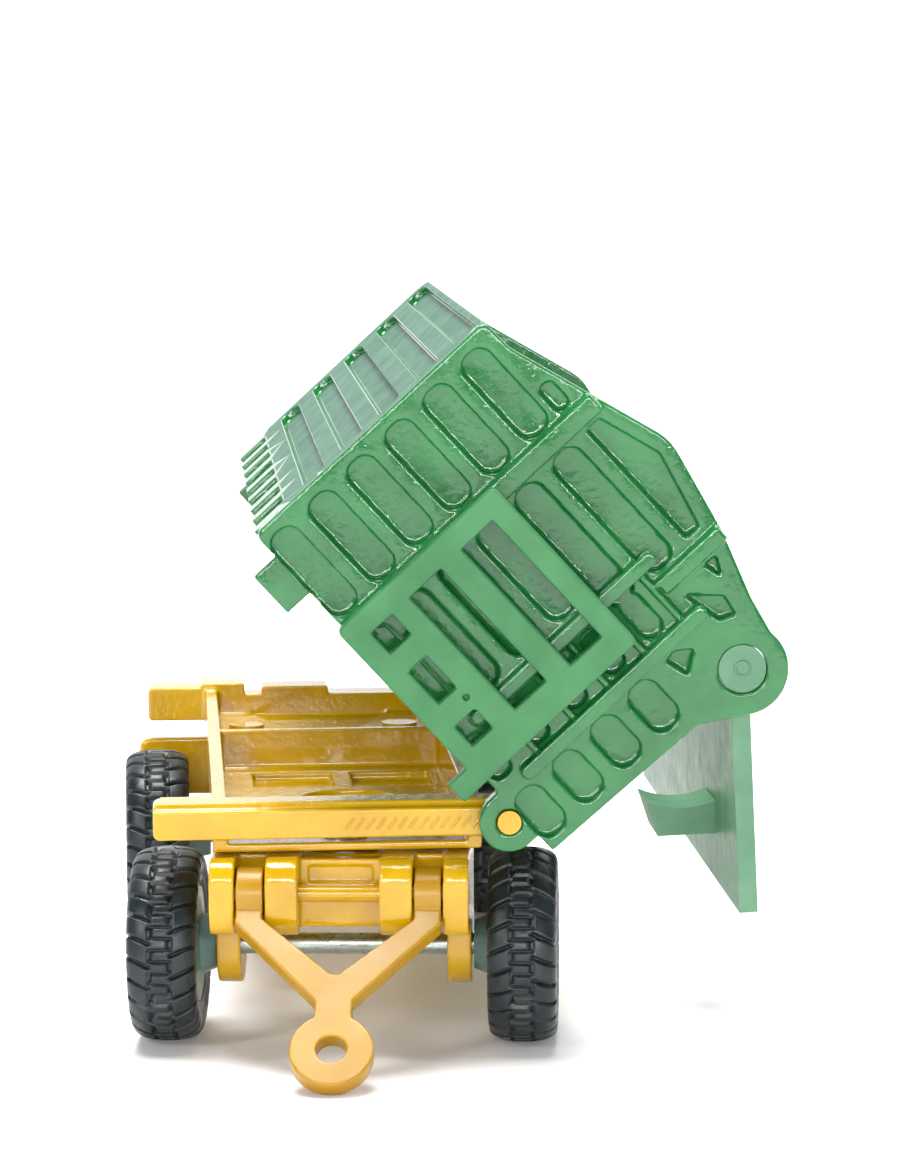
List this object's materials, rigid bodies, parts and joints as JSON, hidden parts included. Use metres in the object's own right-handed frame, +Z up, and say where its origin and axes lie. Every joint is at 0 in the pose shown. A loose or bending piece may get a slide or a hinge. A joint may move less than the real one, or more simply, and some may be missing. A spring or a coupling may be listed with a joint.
{
  "type": "toy tipping farm wagon",
  "caption": "Die-cast toy farm wagon with a side-tipping hopper, hinged side flap, steering dolly, lifting drawbar and rolling wheels.",
  "frame": {"origin": "on the ground at the centre of the footprint of the whole wagon in its rest pose, hopper tipped and flap hanging", "axes": "+Y runs rearward along the wagon, +X to the side that the hopper tips to, +Z up"},
  "size_m": [0.0491, 0.0778, 0.0542],
  "materials": {
    "yellow_enamel": "gloss",
    "green_enamel": "gloss",
    "green_plastic": "satin",
    "flap_plastic": "satin",
    "hub_plastic": "satin",
    "black_rubber": "matte",
    "steel": "satin"
  },
  "bodies": {
    "chassis": {"chassis_frame": "yellow_enamel", "rear_underframe": "yellow_enamel", "underframe_rivets": "yellow_enamel", "kingpin": "steel", "kingpin_washer": "steel", "front_tip_pin": "yellow_enamel", "rear_tip_pin": "yellow_enamel"},
    "dolly": {"dolly_frame": "yellow_enamel", "drawbar_pin": "yellow_enamel"},
    "drawbar": {"drawbar": "yellow_enamel"},
    "front_wheelset": {"front_axle": "steel", "front_left_rim": "hub_plastic", "front_right_rim": "hub_plastic", "front_left_tyre": "black_rubber", "front_right_tyre": "black_rubber"},
    "rear_wheelset": {"rear_axle": "steel", "rear_left_rim": "hub_plastic", "rear_right_rim": "hub_plastic", "rear_left_tyre": "black_rubber", "rear_right_tyre": "black_rubber"},
    "hopper": {"hopper_body": "green_enamel", "front_grille": "green_plastic"},
    "flap": {"side_flap": "flap_plastic"}
  },
  "joints": [
    {"name": "hopper_tip", "type": "hinge", "parent": "chassis", "child": "hopper", "pos_m": [0.004, -0.02766, 0.0176], "axis": [0, 1, 0], "range_deg": [-47.5, 0]},
    {"name": "flap_swing", "type": "hinge", "parent": "hopper", "child": "flap", "pos_m": [0.02115, -0.02766, 0.02864], "axis": [0, 1, 0], "range_deg": [-60, 49.8]},
    {"name": "dolly_steer", "type": "hinge", "parent": "chassis", "child": "dolly", "pos_m": [-0.0077, -0.02006, 0.0148], "axis": [0, 0, 1], "range_deg": [-28.7, 41.3]},
    {"name": "drawbar_lift", "type": "hinge", "parent": "dolly", "child": "drawbar", "pos_m": [-0.00839, -0.02632, 0.0123], "axis": [0.994, -0.1097, 0], "range_deg": [-65, 0]},
    {"name": "front_wheels_roll", "type": "hinge", "parent": "dolly", "child": "front_wheelset", "pos_m": [-0.0077, -0.02006, 0.0073], "axis": [0.994, -0.1097, 0], "continuous": true},
    {"name": "rear_wheels_roll", "type": "hinge", "parent": "chassis", "child": "rear_wheelset", "pos_m": [-0.0077, 0.02774, 0.0073], "axis": [1, 0, 0], "continuous": true}
  ]
}
